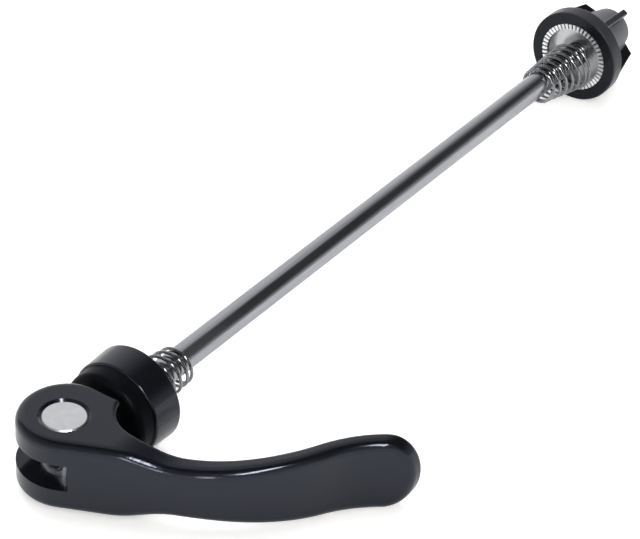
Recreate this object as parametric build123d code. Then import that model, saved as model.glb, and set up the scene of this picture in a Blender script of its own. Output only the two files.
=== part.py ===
from build123d import *
import os
from math import cos, pi, radians, tan

# Rear quick release skewer with an external cam lever, closed, in millimetres.
# The rod lies along +Y and the lever turns about Z. The origin is on the rod's axis, in the
# plane of the lever side's clamp face, and the nut's clamp face lies CLAMP_GAP further along +Y.

# Clamp and rod
CLAMP_GAP = 145.6
ROD_R = 2.5
ROD_CHAMFER = 0.5
ROD_END_INSET = 0.6

# Clearances, all radial or face to face
RUN_CLEAR = 0.05
SEAT_CLEAR = 0.02
ROD_CLEAR = 0.25
SLOT_CLEAR = 0.15
CAM_GAP = 0.28

# Pivot barrel
BARREL_R = 4.05
BARREL_INSET = 0.2
BARREL_CHAMFER = 0.25

# Lever head, seen from above with the pivot at zero
HEAD_H = 14.6
CAM_R = 8.9
CAM_LIFT = 1.05
CAM_SIDE = 0.15
CAM_FLAT_END = 4.5
SLOT_END = 5.6
HOLE_CHAMFER = 0.45
OUTER_EDGE_R = 1.7
INNER_EDGE_R = 1.0

# Lever neck and blade, as runs and tangent arcs seen from above
NECK_ANGLE = 26.2
NECK_LEN = 21.4
NOTCH_ANGLE = 70.0
NOTCH_RUN = 1.3
NOTCH_R = 7.8
NOTCH_EXIT_ANGLE = 14.5
BLADE_T = 4.2
BLADE_TAPER_ANGLE = 1.4
BEND_R = 39.2
BEND_ANGLE = 37.0
FLARE_R = 24.7
FLARE_ANGLE = 34.6

# Lever blade seen from the side
HEAD_END = 11.0
WAIST_AT = 21.5
WAIST_H = 10.6
PADDLE_H = 14.7
TIP_LEN = 5.2

# Cam saddle and end cap on the lever side
SADDLE_LEN = 3.45
SADDLE_FRONT_R = 8.5
SADDLE_EDGE_R = 1.2
SADDLE_SPIGOT_R = 5.4
SADDLE_SPIGOT_LEN = 1.2
CAP_LEN = 6.45
CAP_FRONT_R = 9.1
CAP_REAR_R = 9.4
CAP_EDGE_R = 0.4
SPRING_POCKET_DEPTH = 2.7

# Serrated steel faces, alike on both clamp faces
GRIP_R = 7.42
GRIP_DEPTH = 2.4
GRIP_BORE_R = 6.0
TOOTH_INNER_R = 6.3
TOOTH_COUNT = 48
TOOTH_GROOVE_W = 0.45
TOOTH_DEPTH = 0.45
TOOTH_RELIEF = 0.7
TOOTH_PROUD = 0.2

# Conical springs, alike on both sides, whose small ends hang on the rod
WIRE_R = 0.3
SPRING_LARGE_R = 4.9
SPRING_SMALL_R = 3.5
SPRING_LEN = 14.0
SPRING_TURNS = 7.5
CLOSED_TURNS = 1.0
COIL_GAP = 0.12
COIL_CORNERS = 12
ARC_SHARE = 0.45

# Nut
FLANGE_R = 9.95
FLANGE_T = 3.2
FLANGE_EDGE_R = 0.35
BOSS_BASE_R = 6.0
BOSS_R = 5.0
DOME_START = 12.4
NUT_LEN = 15.3
NUT_END_R = 4.45
FIN_COUNT = 4
FIN_FIRST_ANGLE = 58.0
FIN_T = 1.4
FIN_BASE_R = 9.8
FIN_END_R = 7.2
FIN_END_AT = 14.0
FIN_EDGE_R = 0.3
DISH_DEPTH = 1.6
HUB_R = 4.1
HUB_LEN = 10.0
LOCK_RING_R = 3.7
LOCK_RING_T = 2.2

# Places along the rod that follow from the sizes above
CAM_REACH = CAM_R + CAM_LIFT
SADDLE_FRONT_Y = -CAP_LEN - SADDLE_LEN
PIVOT_Y = SADDLE_FRONT_Y - CAM_GAP - CAM_REACH
NUT_END_Y = CLAMP_GAP + NUT_LEN
SLOT_H = 2 * (ROD_R + SLOT_CLEAR)

# How far apart two planes or directions may be and still count as the same
SAME = 0.001

# Degrees
QUARTER_TURN = 90


def ring(inner_r, outer_r, start_y, end_y):
    """A plain ring about the rod's axis."""
    half_section = Polyline(
        (inner_r, start_y), (outer_r, start_y), (outer_r, end_y), (inner_r, end_y), close=True
    )
    return revolve(make_face(half_section), Axis.Y)


def turned(*half_section):
    """A piece turned about the rod's axis from points (radius, place along the rod)."""
    return revolve(make_face(Polyline(*half_section, close=True)), Axis.Y)


def round_rim(solid, rim_y, radius):
    """Rounds the outermost circular edge in the plane rim_y."""
    circles = solid.edges().filter_by(GeomType.CIRCLE)
    rims = circles.filter_by_position(Axis.Y, rim_y - SAME, rim_y + SAME)
    return fillet(rims.sort_by(SortBy.RADIUS)[-1], radius)


def make_rod():
    start_y = PIVOT_Y - BARREL_R + ROD_END_INSET
    end_y = NUT_END_Y - ROD_END_INSET
    rod = turned((0, start_y), (ROD_R, start_y), (ROD_R, end_y), (0, end_y))
    return chamfer(rod.edges().filter_by(GeomType.CIRCLE), ROD_CHAMFER)


def make_barrel():
    length = HEAD_H - 2 * BARREL_INSET
    barrel = Cylinder(BARREL_R, length)
    barrel = chamfer(barrel.edges().filter_by(GeomType.CIRCLE), BARREL_CHAMFER)
    rod_hole = Rot(QUARTER_TURN, 0, 0) * Cylinder(ROD_R + SEAT_CLEAR, 4 * BARREL_R)
    return Pos(0, PIVOT_Y, 0) * (barrel - rod_hole)


def lever_walls():
    """The lever seen from above: eccentric head, neck and a blade that bends and flares.

    Returns the lines of its outer wall and of its inner wall, and the place along X where it ends.
    """
    cam_corner = Vector(CAM_FLAT_END, CAM_REACH)
    flat = Line(cam_corner, (-CAM_SIDE, CAM_REACH))
    head = JernArc(flat @ 1, flat % 1, CAM_R, 180 + NECK_ANGLE)
    neck = PolarLine(head @ 1, NECK_LEN, NECK_ANGLE)
    bend = JernArc(neck @ 1, neck % 1, BEND_R, BEND_ANGLE)
    flare = JernArc(bend @ 1, bend % 1, FLARE_R, -FLARE_ANGLE)
    tail = PolarLine(flare @ 1, TIP_LEN, direction=flare % 1)

    notch_run = PolarLine(cam_corner, NOTCH_RUN, -NOTCH_ANGLE)
    notch = JernArc(notch_run @ 1, notch_run % 1, NOTCH_R, NOTCH_ANGLE + NOTCH_EXIT_ANGLE)
    inner_start = (neck @ 1) + (neck % 1).rotate(Axis.Z, QUARTER_TURN) * BLADE_T
    inner_dir = (neck % 1).rotate(Axis.Z, -BLADE_TAPER_ANGLE)
    throat = Spline(notch @ 1, inner_start, tangents=[notch % 1, inner_dir])
    inner_bend = JernArc(inner_start, inner_dir, BEND_R - BLADE_T, BEND_ANGLE)
    inner_flare = JernArc(inner_bend @ 1, inner_bend % 1, FLARE_R + BLADE_T, -FLARE_ANGLE)
    inner_tail = PolarLine(inner_flare @ 1, TIP_LEN, direction=inner_flare % 1)

    outer_wall = [flat, head, neck, bend, flare, tail]
    inner_wall = [notch_run, notch, throat, inner_bend, inner_flare, inner_tail]
    return outer_wall, inner_wall, (flare @ 1).X


def lever_side(tip_x):
    """The lever seen from the side: level head, narrower neck and a paddle with a round end."""
    head_half = HEAD_H / 2
    paddle_half = PADDLE_H / 2
    behind_head = -2 * CAM_R
    paddle_x = tip_x - TIP_LEN
    level = Line((behind_head, head_half), (HEAD_END, head_half))
    waist = Spline(level @ 1, (WAIST_AT, WAIST_H / 2), tangents=[(1, 0), (1, 0)])
    swell = Spline(waist @ 1, (paddle_x, paddle_half), tangents=[(1, 0), (1, 0)])
    end = EllipticalCenterArc((paddle_x, 0), TIP_LEN, paddle_half, start_angle=0, arc_size=QUARTER_TURN)
    back = Line(level @ 0, (behind_head, 0))
    base = Line(back @ 1, (tip_x, 0))
    upper = make_face([level, waist, swell, end, back, base])
    return upper + mirror(upper, Plane.XZ)


def is_rim(edge, wall):
    """True for a long edge that follows a wall seen from above, false for seams across it."""
    along = edge % 0.5
    is_seam = edge.geom_type == GeomType.LINE and max(abs(along.Y), abs(along.Z)) > 1 - SAME
    middle = edge @ 0.5
    return not is_seam and min(line.distance_to(Vector(middle.X, middle.Y)) for line in wall) < SAME


def round_wall(solid, wall, radius):
    """Rounds the edges that follow a wall seen from above."""
    return fillet(solid.edges().filter_by(lambda edge: is_rim(edge, wall)), radius)


def make_lever():
    outer_wall, inner_wall, tip_x = lever_walls()
    end = Line(outer_wall[-1] @ 1, inner_wall[-1] @ 1)
    plan = make_face([*outer_wall, *inner_wall, end])
    from_above = extrude(plan, HEAD_H + PADDLE_H, both=True)
    from_side = extrude(Plane.XZ * lever_side(tip_x), 2 * tip_x, both=True)
    lever = from_above & from_side
    lever = round_wall(lever, outer_wall, OUTER_EDGE_R)
    lever = round_wall(lever, inner_wall, INNER_EDGE_R)

    slot_size = 4 * CAM_R
    slot = Pos(SLOT_END - slot_size / 2, 0, 0) * Box(slot_size, slot_size, SLOT_H)
    hole_r = BARREL_R + RUN_CLEAR
    hole = Cylinder(hole_r, 2 * HEAD_H)
    lip = Pos(0, 0, HEAD_H / 2 - HOLE_CHAMFER) * Cone(
        hole_r, hole_r + 2 * HOLE_CHAMFER, 2 * HOLE_CHAMFER, align=(Align.CENTER, Align.CENTER, Align.MIN)
    )
    lever = lever - slot - hole - lip - mirror(lip, Plane.XY)
    return Pos(0, PIVOT_Y, 0) * lever


def make_saddle():
    cap_front_y = -CAP_LEN
    spigot_end_y = cap_front_y + SADDLE_SPIGOT_LEN
    bore_r = ROD_R + ROD_CLEAR
    saddle = turned(
        (bore_r, SADDLE_FRONT_Y),
        (SADDLE_FRONT_R, SADDLE_FRONT_Y),
        (CAP_FRONT_R - CAP_EDGE_R, cap_front_y),
        (SADDLE_SPIGOT_R, cap_front_y),
        (SADDLE_SPIGOT_R, spigot_end_y),
        (bore_r, spigot_end_y),
    )
    return round_rim(saddle, SADDLE_FRONT_Y, SADDLE_EDGE_R)


def make_end_cap():
    front_y = -CAP_LEN
    socket_floor_y = front_y + SADDLE_SPIGOT_LEN
    spring_floor_y = -SPRING_POCKET_DEPTH
    bore_r = ROD_R + ROD_CLEAR
    cap = turned(
        (SADDLE_SPIGOT_R + SEAT_CLEAR, front_y),
        (CAP_FRONT_R, front_y),
        (CAP_REAR_R, 0),
        (GRIP_R + SEAT_CLEAR, 0),
        (GRIP_R + SEAT_CLEAR, -GRIP_DEPTH),
        (GRIP_BORE_R, -GRIP_DEPTH),
        (GRIP_BORE_R, spring_floor_y),
        (bore_r, spring_floor_y),
        (bore_r, socket_floor_y),
        (SADDLE_SPIGOT_R + SEAT_CLEAR, socket_floor_y),
    )
    cap = round_rim(cap, front_y, CAP_EDGE_R)
    return round_rim(cap, 0, CAP_EDGE_R)


def tooth_grooves():
    """V grooves between the teeth of a clamp face that looks along +Y at y = TOOTH_PROUD."""
    lift = TOOTH_DEPTH / 2
    half_w = TOOTH_GROOVE_W / 2 * (TOOTH_DEPTH + lift) / TOOTH_DEPTH
    section = Polyline((half_w, lift), (-half_w, lift), (0, -TOOTH_DEPTH), close=True)
    tooth_len = GRIP_R - TOOTH_INNER_R
    groove = extrude(Plane.YZ * make_face(section).rotate(Axis.Z, -QUARTER_TURN), tooth_len, both=True)
    groove = Pos((TOOTH_INNER_R + GRIP_R) / 2, TOOTH_PROUD, 0) * groove
    return [Rot(0, 360 / TOOTH_COUNT * i, 0) * groove for i in range(TOOTH_COUNT)]


def make_lever_grip_ring():
    relief_y = TOOTH_PROUD - TOOTH_RELIEF
    blank = turned(
        (GRIP_BORE_R, -GRIP_DEPTH),
        (GRIP_R, -GRIP_DEPTH),
        (GRIP_R, TOOTH_PROUD),
        (TOOTH_INNER_R, TOOTH_PROUD),
        (TOOTH_INNER_R, relief_y),
        (GRIP_BORE_R, relief_y),
    )
    return blank - tooth_grooves()


def to_nut_side(solid):
    """Turns a piece made for the lever's clamp face round, to face it at the nut's end."""
    return Pos(0, CLAMP_GAP, 0) * Rot(0, 0, 180) * solid


def hang(coil_r):
    """How far a coil drops off the rod's axis when it hangs on the rod."""
    return coil_r - WIRE_R - ROD_R - RUN_CLEAR


def coil_path(large_drop):
    """A conical coil about +Z, large end first, with closed end turns, that drops towards +Y.

    The large end drops large_drop off the axis, and the small end hangs on the rod.
    It is short straight runs joined by tangent arcs, and each arc takes ARC_SHARE of the shorter run.
    """
    climb = SPRING_LEN - 2 * WIRE_R
    closed_pitch = 2 * WIRE_R + COIL_GAP
    open_pitch = (climb - 2 * CLOSED_TURNS * closed_pitch) / (SPRING_TURNS - 2 * CLOSED_TURNS)
    small_drop = hang(SPRING_SMALL_R)
    corner_share = cos(pi / COIL_CORNERS)
    corners = []
    height = 0
    for step in range(round(SPRING_TURNS * COIL_CORNERS) + 1):
        turn = step / COIL_CORNERS
        share = height / climb
        coil_r = SPRING_LARGE_R + (SPRING_SMALL_R - SPRING_LARGE_R) * share
        drop = large_drop + (small_drop - large_drop) * share
        corner = Vector(coil_r / corner_share, 0, height).rotate(Axis.Z, 360 * turn)
        corners.append(corner + Vector(0, drop, 0))
        is_closed = turn < CLOSED_TURNS or turn >= SPRING_TURNS - CLOSED_TURNS
        height += (closed_pitch if is_closed else open_pitch) / COIL_CORNERS

    runs = [end - start for start, end in zip(corners, corners[1:])]
    arc_radii = []
    for run, next_run in zip(runs, runs[1:]):
        half_turn = radians(run.get_angle(next_run)) / 2
        arc_radii.append(ARC_SHARE * min(run.length, next_run.length) / tan(half_turn))
    return FilletPolyline(*corners, radius=arc_radii)


def make_spring(large_drop):
    """A conical spring along +Y, with its large end's wire resting on y = 0 and +Z upwards."""
    coil = coil_path(large_drop)
    wire = sweep(Plane(coil @ 0, z_dir=coil % 0) * Circle(WIRE_R), path=coil)
    return Pos(0, WIRE_R, 0) * Rot(-QUARTER_TURN, 0, 0) * wire


def make_lever_spring():
    """The spring in the end cap's pocket."""
    return Pos(0, -SPRING_POCKET_DEPTH, 0) * make_spring(0)


def make_nut_spring():
    """The spring at the nut, slipped out of its dish to hang on the rod in front of the teeth."""
    return to_nut_side(Pos(0, TOOTH_PROUD + RUN_CLEAR, 0) * make_spring(hang(SPRING_LARGE_R)))


def make_fin(angle):
    inner_r = (HUB_R + NUT_END_R) / 2
    outline = Polyline(
        (inner_r, FLANGE_T / 2),
        (FIN_BASE_R, FLANGE_T / 2),
        (FIN_BASE_R, FLANGE_T),
        (FIN_END_R, FIN_END_AT),
        (inner_r, NUT_LEN - FIN_EDGE_R),
        close=True,
    )
    fin = extrude(make_face(outline), FIN_T / 2, both=True)
    crest = fin.edges().filter_by(lambda e: abs((e % 0.5).Z) < SAME and e.center().X > inner_r + FIN_T)
    fin = fillet(crest.filter_by(lambda e: e.center().Y > FLANGE_T), FIN_EDGE_R)
    return Pos(0, CLAMP_GAP, 0) * Rot(0, -angle, 0) * fin


def make_nut_body():
    face_y = CLAMP_GAP
    flange_y = face_y + FLANGE_T
    dome_y = face_y + DOME_START
    boss_side = Polyline(
        (0, face_y),
        (FLANGE_R, face_y),
        (FLANGE_R, flange_y),
        (BOSS_BASE_R, flange_y),
        (BOSS_R, dome_y),
    )
    dome = TangentArc((BOSS_R, dome_y), (NUT_END_R, NUT_END_Y), tangent=boss_side % 1)
    end = Polyline((NUT_END_R, NUT_END_Y), (0, NUT_END_Y), (0, face_y))
    body = revolve(make_face([boss_side, dome, end]), Axis.Y)
    body = round_rim(body, face_y, FLANGE_EDGE_R)
    body = round_rim(body, flange_y, FLANGE_EDGE_R)
    fin_step = 360 / FIN_COUNT
    body += [make_fin(FIN_FIRST_ANGLE + fin_step * i) for i in range(FIN_COUNT)]
    lock_floor_y = NUT_END_Y - LOCK_RING_T
    body -= ring(0, GRIP_R + SEAT_CLEAR, face_y - FLANGE_T, face_y + GRIP_DEPTH)
    body -= ring(0, HUB_R + SEAT_CLEAR, face_y, face_y + HUB_LEN)
    body -= ring(0, ROD_R + ROD_CLEAR, face_y, NUT_END_Y + LOCK_RING_T)
    return body - ring(0, LOCK_RING_R + SEAT_CLEAR, lock_floor_y, NUT_END_Y + LOCK_RING_T)


def make_nut_insert():
    """The steel nut: a serrated, dished head and a hub with the rod's thread."""
    bore_r = ROD_R + RUN_CLEAR
    relief_y = TOOTH_PROUD - TOOTH_RELIEF
    blank = turned(
        (bore_r, -DISH_DEPTH),
        (GRIP_BORE_R, -DISH_DEPTH),
        (TOOTH_INNER_R, relief_y),
        (TOOTH_INNER_R, TOOTH_PROUD),
        (GRIP_R, TOOTH_PROUD),
        (GRIP_R, -GRIP_DEPTH),
        (HUB_R, -GRIP_DEPTH),
        (HUB_R, -HUB_LEN),
        (bore_r, -HUB_LEN),
    )
    return to_nut_side(blank - tooth_grooves())


def make_lock_ring():
    return ring(ROD_R + RUN_CLEAR, LOCK_RING_R, NUT_END_Y - LOCK_RING_T, NUT_END_Y)


nodes = {
    "skewer_rod": make_rod(),
    "pivot_barrel": make_barrel(),
    "cam_lever": make_lever(),
    "cam_saddle": make_saddle(),
    "lever_end_cap": make_end_cap(),
    "lever_grip_ring": make_lever_grip_ring(),
    "lever_spring": make_lever_spring(),
    "nut_spring": make_nut_spring(),
    "nut_body": make_nut_body(),
    "nut_grip_insert": make_nut_insert(),
    "nut_lock_ring": make_lock_ring(),
}

os.makedirs("parts", exist_ok=True)
for name, solid in nodes.items():
    solid.label = name
    export_step(solid, f"parts/{name}.step")
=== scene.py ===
from math import cos, pi, radians, sin

import bpy
from mathutils import Matrix, Vector


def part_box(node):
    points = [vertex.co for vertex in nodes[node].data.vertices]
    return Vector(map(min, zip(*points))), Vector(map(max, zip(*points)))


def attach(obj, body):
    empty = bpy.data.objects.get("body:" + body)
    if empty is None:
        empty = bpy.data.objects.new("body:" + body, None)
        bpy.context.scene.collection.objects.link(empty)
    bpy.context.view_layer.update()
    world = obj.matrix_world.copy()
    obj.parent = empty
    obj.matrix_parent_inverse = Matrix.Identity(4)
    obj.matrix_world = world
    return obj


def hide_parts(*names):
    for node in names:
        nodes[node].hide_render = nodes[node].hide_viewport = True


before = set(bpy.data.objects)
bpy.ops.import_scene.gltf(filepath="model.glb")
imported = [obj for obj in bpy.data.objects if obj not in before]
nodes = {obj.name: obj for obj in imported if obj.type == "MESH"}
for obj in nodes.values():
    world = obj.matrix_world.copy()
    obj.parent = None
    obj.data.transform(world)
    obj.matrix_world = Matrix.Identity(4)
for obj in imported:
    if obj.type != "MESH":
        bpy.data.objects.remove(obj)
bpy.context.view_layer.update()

# The looks of a rear quick release skewer, in metres, in the frame of its solids: the rod lies along
# +Y from the lever to the nut, and the lever turns about Z.
scene = bpy.context.scene
scene.view_settings.view_transform = "Standard"

# Camera
CAMERA_AT = (0.24111, -0.30784, 0.30833)
CAMERA_AZIMUTH = radians(33.615)
CAMERA_ELEVATION = radians(35.673)
CAMERA_ROLL = radians(3.351)
CAMERA_LENS_MM = 159.96
CAMERA_NEAR = 0.01

# Rod and its rolled thread
ROD_R = 0.0025
ROD_CHAMFER = 0.0005
ROD_SIDES = 64
THREAD_START_Y = 0.1330
THREAD_PITCH = 0.0008
THREAD_DEPTH = 0.00042
THREAD_RUNOUT = 0.0012
THREAD_STEPS = 10

# Teeth of the clamp faces, with painted shade in their grooves: none down to one depth, and full below the
# other
TOOTH_INNER_R = 0.0063
TOOTH_INNER_EDGE = 0.0001
TOOTH_SHADE_START_DEPTH = 0.00005
TOOTH_SHADE_FULL_DEPTH = 0.00027

# The nut's flange, and its boss, a cone that narrows by BOSS_TAPER for each metre from BOSS_START_Y
FLANGE_R = 0.00995
BOSS_START_Y = 0.1488
BOSS_R = 0.0060
BOSS_TAPER = 0.1087
NUT_MASK_EDGE = 0.00015

# Finishes: the unit of bump heights, the tint of what black mirrors, turning rings, and patches
MICRON = 0.000001
BLACK_TINT = (0.73, 0.8, 1.0, 1)
RING_SCALE = 1500.0
RING_WANDER = 0.6
RING_HEIGHT = 2 * MICRON
# Painted highlight: the paler greys of the nut's boss and of its flange's rim
BOSS_HIGHLIGHT_GREY = (0.11, 0.114, 0.125)
BOSS_ROUGHNESS = 0.4
RIM_HIGHLIGHT_GREY = (0.03, 0.0312, 0.035)
RIM_ROUGHNESS = 0.26
# Painted shade in the roots of the rod's thread
THREAD_ROOT_SHADE = (0.03, 0.03, 0.033)
DISH_STEEL = (0.57, 0.58, 0.6)
# Painted shade in the grooves between the teeth
TOOTH_GROOVE_SHADE = (0.07, 0.07, 0.077)
TOOTH_ROUGHNESS = 0.42

# Floor, and how much of its own light it adds for each kind of ray
FLOOR_SIZE = 12.0
FLOOR_COLOUR = (0.93, 0.93, 0.93, 1)
FLOOR_GLOW = {"Is Camera Ray": 0.38, "Is Glossy Ray": 0.05, "Is Transmission Ray": 0.05}

# Sun, for the soft shadow
SUN_STRENGTH = 1.6
SUN_TOWARDS = (-0.15, 0.3, 0.94)
SUN_ANGLE = radians(60)

# Studio: the strength of each part, and where it starts and ends to fade in along x, y or z of a direction
ROOM_COLOUR = (1, 1, 1, 1)
ROOM_DARK = 0.06
LEFT_SCREEN = 0.95
LEFT_SCREEN_X = (0.2, -0.75)
TOP_SCREEN = 0.7
TOP_SCREEN_X = (0.12, -0.2)
TOP_SCREEN_Y = (0.65, 0.45)
TOP_SCREEN_Z = (0.78, 0.9)
SCREENS_Y = (-0.12, 0.1)
FRONT_WALL = 0.3
FRONT_WALL_Z = (0.9, 0.7)
FRONT_HORIZON = 0.75
FRONT_HORIZON_Z = (0.5, 0.25)
FRONT_Y = (0.1, -0.3)
HORIZON = 0.55
HORIZON_Z = (0.5, 0.05)

# Lamps: the range of x and of y that their directions cover, and their strength
LAMP_COLOUR = (1.0, 0.98, 0.94, 1)
LAMP_EDGE = 0.03
LAMPS = [
    ((0.46, 0.58), (-0.66, -0.3), 28.0),
    ((0.40, 0.49), (-0.93, -0.84), 9.0),
]


class Graph:
    """A node tree, with short ways to add nodes. A value is a number, a colour or a node's output."""

    def __init__(self, tree):
        self.tree = tree

    def feed(self, value, socket):
        """Links an output to a socket, or sets the socket to a number or colour."""
        if isinstance(value, bpy.types.NodeSocket):
            self.tree.links.new(value, socket)
        else:
            socket.default_value = value

    def add(self, kind, **inputs):
        """A new node with values for its inputs, which are named with _ for each space."""
        node = self.tree.nodes.new(kind)
        for socket, value in inputs.items():
            self.feed(value, node.inputs[socket.replace("_", " ")])
        return node

    def math(self, operation, first, second):
        """A sum, product or other operation on two values."""
        node = self.add("ShaderNodeMath")
        node.operation = operation
        self.feed(first, node.inputs[0])
        self.feed(second, node.inputs[1])
        return node.outputs[0]

    def product(self, first, *others):
        """Values multiplied together, which for masks is where all are on."""
        for other in others:
            first = self.math("MULTIPLY", first, other)
        return first

    def highest(self, first, *others):
        """The highest of some values."""
        for other in others:
            first = self.math("MAXIMUM", first, other)
        return first

    def fade(self, source, ends, strength=1.0):
        """Rises smoothly from 0 at the first end to strength at the second."""
        start, end = ends
        node = self.add("ShaderNodeMapRange", Value=source, From_Min=start, From_Max=end, To_Max=strength)
        node.interpolation_type = "SMOOTHSTEP"
        return node.outputs[0]

    def both_shaders(self, first, second):
        """Two shaders added up."""
        node = self.add("ShaderNodeAddShader")
        self.feed(first, node.inputs[0])
        self.feed(second, node.inputs[1])
        return node.outputs[0]


class Surface(Graph):
    """A principled material whose detail is built from a few texture nodes in object space."""

    # The places of a mix node's two colours among its inputs, and of the mixed colour among its outputs
    FIRST_COLOUR = 6
    SECOND_COLOUR = 7
    MIXED_COLOUR = 2

    def __init__(self, name, metallic=0.0, **sockets):
        self.material = bpy.data.materials.new(name)
        self.material.use_nodes = True
        super().__init__(self.material.node_tree)
        self.shader = self.tree.nodes["Principled BSDF"]
        self.shader.inputs["Metallic"].default_value = metallic
        for socket, value in sockets.items():
            self.shader.inputs[socket.replace("_", " ")].default_value = value
        self.coords = self.add("ShaderNodeTexCoord").outputs["Object"]

    def noise(self, size, detail=2.0, stretch=(1, 1, 1)):
        """Noise whose features are about size across, drawn out along an axis by stretch."""
        scale = tuple(1 / (size * s) for s in stretch)
        placed = self.add("ShaderNodeMapping", Vector=self.coords, Scale=scale)
        return self.add("ShaderNodeTexNoise", Vector=placed.outputs[0], Scale=1.0, Detail=detail).outputs[0]

    def rings(self, axis, centre):
        """Fine turning rings about the line along X, Y or Z through centre."""
        placed = self.add("ShaderNodeMapping", Vector=self.coords, Location=-Vector(centre))
        wave = self.add(
            "ShaderNodeTexWave", Vector=placed.outputs[0], Scale=RING_SCALE, Distortion=RING_WANDER
        )
        wave.wave_type = "RINGS"
        wave.rings_direction = axis
        return wave.outputs[1]

    def along_rod(self):
        """The place along the rod's axis."""
        return self.add("ShaderNodeSeparateXYZ", Vector=self.coords).outputs["Y"]

    def from_axis(self):
        """The distance from the rod's axis."""
        flat = self.add("ShaderNodeMapping", Vector=self.coords, Scale=(1, 0, 1))
        length = self.add("ShaderNodeVectorMath")
        length.operation = "LENGTH"
        self.feed(flat.outputs[0], length.inputs[0])
        return length.outputs["Value"]

    def spread(self, source, low, high, start=0.3, end=0.7):
        """Maps start to low and end to high, by default the middle of a texture's range."""
        return self.add(
            "ShaderNodeMapRange", Value=source, From_Min=start, From_Max=end, To_Min=low, To_Max=high
        ).outputs[0]

    def mask(self, source, off, on):
        """0 at one value of the source and 1 at another."""
        return self.spread(source, 0.0, 1.0, off, on)

    def blend(self, factor, first, second):
        """A colour between two, each a colour or the output of another blend."""
        mix = self.add("ShaderNodeMix")
        mix.data_type = "RGBA"
        self.feed(factor, mix.inputs[0])
        for value, place in ((first, self.FIRST_COLOUR), (second, self.SECOND_COLOUR)):
            self.feed((*value, 1) if isinstance(value, tuple) else value, mix.inputs[place])
        return mix.outputs[self.MIXED_COLOUR]

    def colour(self, source, dark, light, patches=()):
        """Base colour from dark to light over a texture, with (mask, colour) patches on top."""
        colour = self.blend(self.spread(source, 0.0, 1.0), dark, light)
        for mask, patch in patches:
            colour = self.blend(mask, colour, patch)
        self.feed(colour, self.shader.inputs["Base Color"])

    def roughness(self, source, low, high, patches=()):
        """Roughness from low to high over a texture, with (mask, roughness) patches on top."""
        rough = self.spread(source, low, high)
        for mask, patch in patches:
            rough = self.spread(mask, rough, patch, 0.0, 1.0)
        self.feed(rough, self.shader.inputs["Roughness"])

    def bump(self, *layers):
        """Stacks (texture, height) layers, each a height in metres."""
        normal = None
        for source, height in layers:
            node = self.add("ShaderNodeBump", Height=source, Distance=height, Strength=1.0)
            if normal is not None:
                self.feed(normal, node.inputs["Normal"])
            normal = node.outputs[0]
        self.feed(normal, self.shader.inputs["Normal"])


def gloss_paint():
    """Gloss black paint over cast alloy, with a slight orange peel."""
    paint = Surface("black_alloy_gloss", Specular_Tint=BLACK_TINT)
    peel = paint.noise(0.0011)
    cloud = paint.noise(0.006, detail=3.0)
    specks = paint.noise(0.0002, detail=1.0)
    paint.colour(specks, dark=(0.003, 0.0034, 0.0046), light=(0.006, 0.0066, 0.0088))
    paint.roughness(cloud, low=0.1, high=0.15)
    paint.bump((peel, 6 * MICRON), (specks, 1 * MICRON))
    return paint.material


def nut_finish():
    """Satin black over the nut, duller on the flange's rim and on the boss between the fins, where a paler
    grey is a painted highlight of the light from above.
    """
    black = Surface("black_alloy_satin", Specular_IOR_Level=0.24, Specular_Tint=BLACK_TINT)
    grain = black.noise(0.0002)
    cloud = black.noise(0.003, detail=3.0)
    along = black.along_rod()
    from_axis = black.from_axis()
    beyond_flange = black.mask(along, BOSS_START_Y, BOSS_START_Y + NUT_MASK_EDGE)
    untapered = black.math("ADD", from_axis, black.product(along, BOSS_TAPER))
    boss_edge = BOSS_R + BOSS_TAPER * BOSS_START_Y + NUT_MASK_EDGE
    inside_fins = black.mask(untapered, boss_edge + NUT_MASK_EDGE, boss_edge)
    boss = black.product(beyond_flange, inside_fins)
    rim = black.mask(from_axis, FLANGE_R - 2 * NUT_MASK_EDGE, FLANGE_R - NUT_MASK_EDGE)
    # Painted highlight: the boss and the rim are paler grey, for the broad sheen of the light from above
    black.colour(
        cloud,
        dark=(0.005, 0.0054, 0.0066),
        light=(0.009, 0.0095, 0.0114),
        patches=[(boss, BOSS_HIGHLIGHT_GREY), (rim, RIM_HIGHLIGHT_GREY)],
    )
    black.roughness(cloud, low=0.16, high=0.22, patches=[(boss, BOSS_ROUGHNESS), (rim, RIM_ROUGHNESS)])
    black.bump((grain, 2 * MICRON))
    return black.material


def saddle_plastic():
    """Moulded black plastic with a dull satin skin."""
    plastic = Surface("saddle_plastic_satin", Specular_IOR_Level=0.05, Specular_Tint=BLACK_TINT)
    grain = plastic.noise(0.00012)
    cloud = plastic.noise(0.003)
    plastic.colour(cloud, dark=(0.0025, 0.0027, 0.0034), light=(0.004, 0.0043, 0.0055))
    plastic.roughness(cloud, low=0.3, high=0.38)
    plastic.bump((grain, 3 * MICRON))
    return plastic.material


def rod_steel():
    """Drawn steel with fine lines along its length, and painted shade in the roots of its thread."""
    steel = Surface("rod_steel_drawn", metallic=1.0)
    lines = steel.noise(0.00016, detail=3.0, stretch=(1, 90, 1))
    cloud = steel.noise(0.004, stretch=(1, 4, 1))
    from_axis = steel.from_axis()
    root_r = ROD_R - THREAD_DEPTH
    below_crest = steel.mask(from_axis, ROD_R, root_r + THREAD_DEPTH / 2)
    off_the_end = steel.mask(from_axis, ROD_R - ROD_CHAMFER, root_r)
    in_thread = steel.mask(steel.along_rod(), THREAD_START_Y, THREAD_START_Y + THREAD_PITCH)
    # Painted shade: the roots of the thread are darkened
    root_shade = steel.product(below_crest, off_the_end, in_thread)
    steel.colour(
        lines, dark=(0.33, 0.34, 0.365), light=(0.42, 0.43, 0.46), patches=[(root_shade, THREAD_ROOT_SHADE)]
    )
    steel.roughness(cloud, low=0.17, high=0.25)
    steel.bump((lines, 1.2 * MICRON))
    return steel.material


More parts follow.
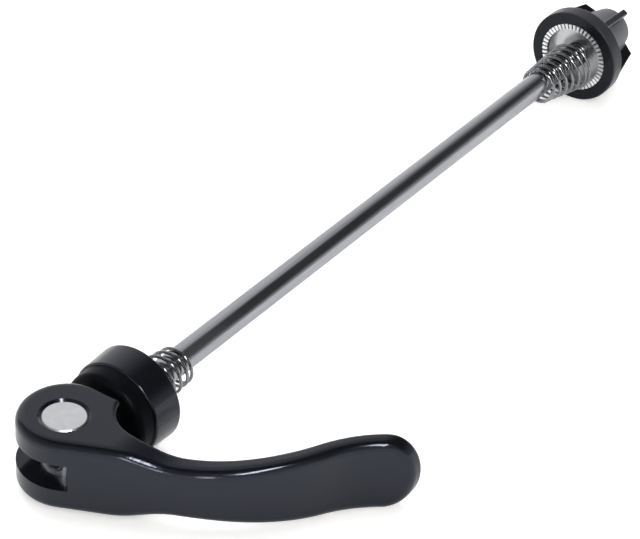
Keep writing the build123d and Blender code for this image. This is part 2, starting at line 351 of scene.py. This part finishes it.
def pivot_steel(centre):
    """A satin pin end with fine turning rings about its axis, which goes through centre."""
    steel = Surface("pivot_steel_turned", metallic=1.0)
    cloud = steel.noise(0.0015, detail=4.0)
    steel.colour(cloud, dark=(0.64, 0.65, 0.675), light=(0.76, 0.77, 0.79))
    steel.roughness(cloud, low=0.3, high=0.4)
    steel.bump((steel.rings("Z", centre), RING_HEIGHT), (cloud, 4 * MICRON))
    return steel.material


def grip_steel(name, crest_y, inwards):
    """Bright plated teeth with painted shade in the grooves between them, and a duller turned dish inside.

    The crests of the teeth lie at crest_y, and inwards is 1 or -1, the way their grooves go along Y.
    """
    steel = Surface(name, metallic=1.0)
    scratches = steel.noise(0.00022, detail=3.0, stretch=(6, 1, 1))
    cloud = steel.noise(0.002)
    shade_start_y = crest_y + inwards * TOOTH_SHADE_START_DEPTH
    shade_full_y = crest_y + inwards * TOOTH_SHADE_FULL_DEPTH
    in_groove = steel.mask(steel.along_rod(), shade_start_y, shade_full_y)
    from_axis = steel.from_axis()
    in_teeth = steel.mask(from_axis, TOOTH_INNER_R - TOOTH_INNER_EDGE, TOOTH_INNER_R)
    in_dish = steel.mask(from_axis, TOOTH_INNER_R, TOOTH_INNER_R - TOOTH_INNER_EDGE)
    # Painted shade: the grooves between the teeth are darkened below one depth
    groove_shade = steel.product(in_groove, in_teeth)
    steel.colour(
        cloud,
        dark=(0.9, 0.91, 0.92),
        light=(0.95, 0.96, 0.97),
        patches=[(in_dish, DISH_STEEL), (groove_shade, TOOTH_GROOVE_SHADE)],
    )
    steel.roughness(scratches, low=0.26, high=0.36, patches=[(in_teeth, TOOTH_ROUGHNESS)])
    steel.bump((steel.rings("Y", (0, 0, 0)), RING_HEIGHT), (scratches, 1 * MICRON))
    return steel.material


def spring_steel():
    """Drawn wire, darker than the rod."""
    steel = Surface("spring_steel_wire", metallic=1.0)
    draw_marks = steel.noise(0.00025, detail=3.0)
    cloud = steel.noise(0.0015)
    steel.colour(cloud, dark=(0.23, 0.235, 0.25), light=(0.32, 0.325, 0.34))
    steel.roughness(draw_marks, low=0.08, high=0.14)
    steel.bump((draw_marks, 2.5 * MICRON))
    return steel.material


def lock_nylon():
    """Dull black nylon."""
    nylon = Surface("lock_nylon_dull")
    grain = nylon.noise(0.0003, detail=3.0)
    nylon.colour(grain, dark=(0.018, 0.018, 0.02), light=(0.032, 0.032, 0.034))
    nylon.roughness(grain, low=0.5, high=0.62)
    nylon.bump((grain, 8 * MICRON))
    return nylon.material


def dress(node, material):
    """Gives a node its finish."""
    piece = nodes[node]
    piece.data.materials.clear()
    piece.data.materials.append(material)


def thread_radius(along, angle):
    """The rod's radius at a place in the threaded length: a V thread that runs out towards its start."""
    turn = along / THREAD_PITCH - angle / (2 * pi)
    flank = abs(2 * (turn % 1.0) - 1)
    runout = min(1.0, along / THREAD_RUNOUT)
    return ROD_R - THREAD_DEPTH * runout * flank


def rod_stations():
    """Places along the rod where its rings of points lie, as (y, radius or None in the thread)."""
    low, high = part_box("skewer_rod")
    stations = [(low.y, ROD_R - ROD_CHAMFER), (low.y + ROD_CHAMFER, ROD_R), (THREAD_START_Y, ROD_R)]
    thread_end = high.y - ROD_CHAMFER
    step = THREAD_PITCH / THREAD_STEPS
    count = int((thread_end - THREAD_START_Y) / step)
    stations += [(THREAD_START_Y + step * (i + 1), None) for i in range(count)]
    stations.append((high.y, ROD_R - ROD_CHAMFER))
    return stations


def make_rod():
    """The rod with its thread as real turns."""
    verts = []
    faces = []
    stations = rod_stations()
    for y, plain_r in stations:
        for i in range(ROD_SIDES):
            angle = 2 * pi * i / ROD_SIDES
            r = thread_radius(y - THREAD_START_Y, angle) if plain_r is None else plain_r
            verts.append((r * cos(angle), y, -r * sin(angle)))
    for row in range(len(stations) - 1):
        base = row * ROD_SIDES
        above = base + ROD_SIDES
        for i in range(ROD_SIDES):
            j = (i + 1) % ROD_SIDES
            faces.append((base + i, base + j, above + j, above + i))
    faces.append(tuple(reversed(range(ROD_SIDES))))
    faces.append(tuple(range(len(verts) - ROD_SIDES, len(verts))))
    mesh = bpy.data.meshes.new("threaded_rod")
    mesh.from_pydata(verts, [], faces)
    mesh.polygons.foreach_set("use_smooth", [len(f) == 4 for f in faces])
    mesh.update()
    rod = bpy.data.objects.new("threaded_rod", mesh)
    scene.collection.objects.link(rod)
    rod.data.materials.append(rod_steel())
    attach(rod, "skewer")
    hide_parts("skewer_rod")


def lowest(node):
    """The height of a node's lowest point."""
    return min(v.co.z for v in nodes[node].data.vertices)


def contact_plane():
    """The plane z = height + across x + along y that the cap, the nut and the lever rest on."""
    cap_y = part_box("lever_end_cap")[1].y
    nut_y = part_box("nut_body")[0].y
    height = lowest("lever_end_cap")
    along = (lowest("nut_body") - height) / (nut_y - cap_y)
    far_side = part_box("cam_lever")[1].x / 2
    blade = [v.co for v in nodes["cam_lever"].data.vertices if v.co.x > far_side]
    across = min((p.z - height - along * p.y) / p.x for p in blade)
    return height, across, along


def floor_white():
    """White that stays white to the eye and in reflections, and still takes the object's shadow."""
    material = bpy.data.materials.new("floor_white")
    material.use_nodes = True
    graph = Graph(material.node_tree)
    graph.tree.nodes.remove(graph.tree.nodes["Principled BSDF"])
    path = graph.add("ShaderNodeLightPath")
    surface = graph.add("ShaderNodeBsdfDiffuse", Color=FLOOR_COLOUR).outputs[0]
    for ray, strength in FLOOR_GLOW.items():
        glow = graph.add("ShaderNodeEmission", Strength=graph.product(path.outputs[ray], strength))
        surface = graph.both_shaders(surface, glow.outputs[0])
    graph.feed(surface, graph.tree.nodes["Material Output"].inputs["Surface"])
    return material


def make_floor():
    """A floor under the object as it lies, which is a little tilted in the object's frame."""
    height, across, along = contact_plane()
    half = FLOOR_SIZE / 2
    corners = [(-half, -half), (half, -half), (half, half), (-half, half)]
    mesh = bpy.data.meshes.new("floor")
    mesh.from_pydata([(x, y, height + across * x + along * y) for x, y in corners], [], [(0, 1, 2, 3)])
    floor = bpy.data.objects.new("floor", mesh)
    scene.collection.objects.link(floor)
    floor.data.materials.append(floor_white())


def make_studio():
    """A dim room: bright screens at the left and overhead, a pale horizon and two lamps in front."""
    world = bpy.data.worlds.new("studio")
    world.use_nodes = True
    scene.world = world
    studio = Graph(world.node_tree)
    studio.tree.nodes.remove(studio.tree.nodes["Background"])
    towards = studio.add("ShaderNodeTexCoord").outputs["Generated"]
    x, y, z = studio.add("ShaderNodeSeparateXYZ", Vector=towards).outputs

    def window(source, low, high):
        rise = studio.fade(source, (low - LAMP_EDGE, low + LAMP_EDGE))
        fall = studio.fade(source, (high + LAMP_EDGE, high - LAMP_EDGE))
        return studio.product(rise, fall)

    left = studio.fade(x, LEFT_SCREEN_X, LEFT_SCREEN)
    top = studio.product(
        studio.fade(z, TOP_SCREEN_Z, TOP_SCREEN), studio.fade(y, TOP_SCREEN_Y), studio.fade(x, TOP_SCREEN_X)
    )
    screens = studio.product(studio.highest(left, top), studio.fade(y, SCREENS_Y))
    front = studio.highest(
        studio.fade(z, FRONT_WALL_Z, FRONT_WALL), studio.fade(z, FRONT_HORIZON_Z, FRONT_HORIZON)
    )
    front = studio.product(front, studio.fade(y, FRONT_Y))
    horizon = studio.fade(z, HORIZON_Z, HORIZON)
    room = studio.math("ADD", studio.highest(screens, front, horizon), ROOM_DARK)
    lamps = 0.0
    for across, along, strength in LAMPS:
        lamp = studio.product(window(x, *across), window(y, *along), strength)
        lamps = studio.math("ADD", lamp, lamps)
    room_light = studio.add("ShaderNodeBackground", Color=ROOM_COLOUR, Strength=room)
    lamp_light = studio.add("ShaderNodeBackground", Color=LAMP_COLOUR, Strength=lamps)
    light = studio.both_shaders(room_light.outputs[0], lamp_light.outputs[0])
    studio.feed(light, studio.tree.nodes["World Output"].inputs["Surface"])


def make_sun():
    """A soft light from above that casts the shadow, and isn't mirrored in the metal."""
    lamp = bpy.data.lights.new("lamp", "SUN")
    lamp.energy = SUN_STRENGTH
    lamp.angle = SUN_ANGLE
    sun = bpy.data.objects.new("lamp", lamp)
    sun.rotation_euler = Vector(SUN_TOWARDS).to_track_quat("Z", "Y").to_euler()
    sun.visible_glossy = False
    scene.collection.objects.link(sun)


def make_camera():
    """The camera, turned by its azimuth and elevation about the object and rolled about its own view."""
    lens = bpy.data.cameras.new("camera")
    lens.lens = CAMERA_LENS_MM
    lens.clip_start = CAMERA_NEAR
    camera = bpy.data.objects.new("camera", lens)
    level = cos(CAMERA_ELEVATION)
    back = Vector((sin(CAMERA_AZIMUTH) * level, -cos(CAMERA_AZIMUTH) * level, sin(CAMERA_ELEVATION)))
    right = Vector((0, 0, 1)).cross(back).normalized()
    upright = Matrix((right, back.cross(right), back)).transposed()
    turn = upright @ Matrix.Rotation(CAMERA_ROLL, 3, "Z")
    camera.matrix_world = Matrix.Translation(CAMERA_AT) @ turn.to_4x4()
    scene.collection.objects.link(camera)
    scene.camera = camera


paint = gloss_paint()
wire = spring_steel()
barrel_low, barrel_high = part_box("pivot_barrel")
pin_centre = (barrel_low + barrel_high) / 2
finishes = {
    "pivot_barrel": pivot_steel(pin_centre),
    "cam_lever": paint,
    "cam_saddle": saddle_plastic(),
    "lever_end_cap": paint,
    "lever_grip_ring": grip_steel("lever_grip_plated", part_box("lever_grip_ring")[1].y, -1),
    "lever_spring": wire,
    "nut_spring": wire,
    "nut_body": nut_finish(),
    "nut_grip_insert": grip_steel("nut_grip_plated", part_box("nut_grip_insert")[0].y, 1),
    "nut_lock_ring": lock_nylon(),
}
for node, material in finishes.items():
    dress(node, material)
make_rod()
make_floor()
make_studio()
make_sun()
make_camera()
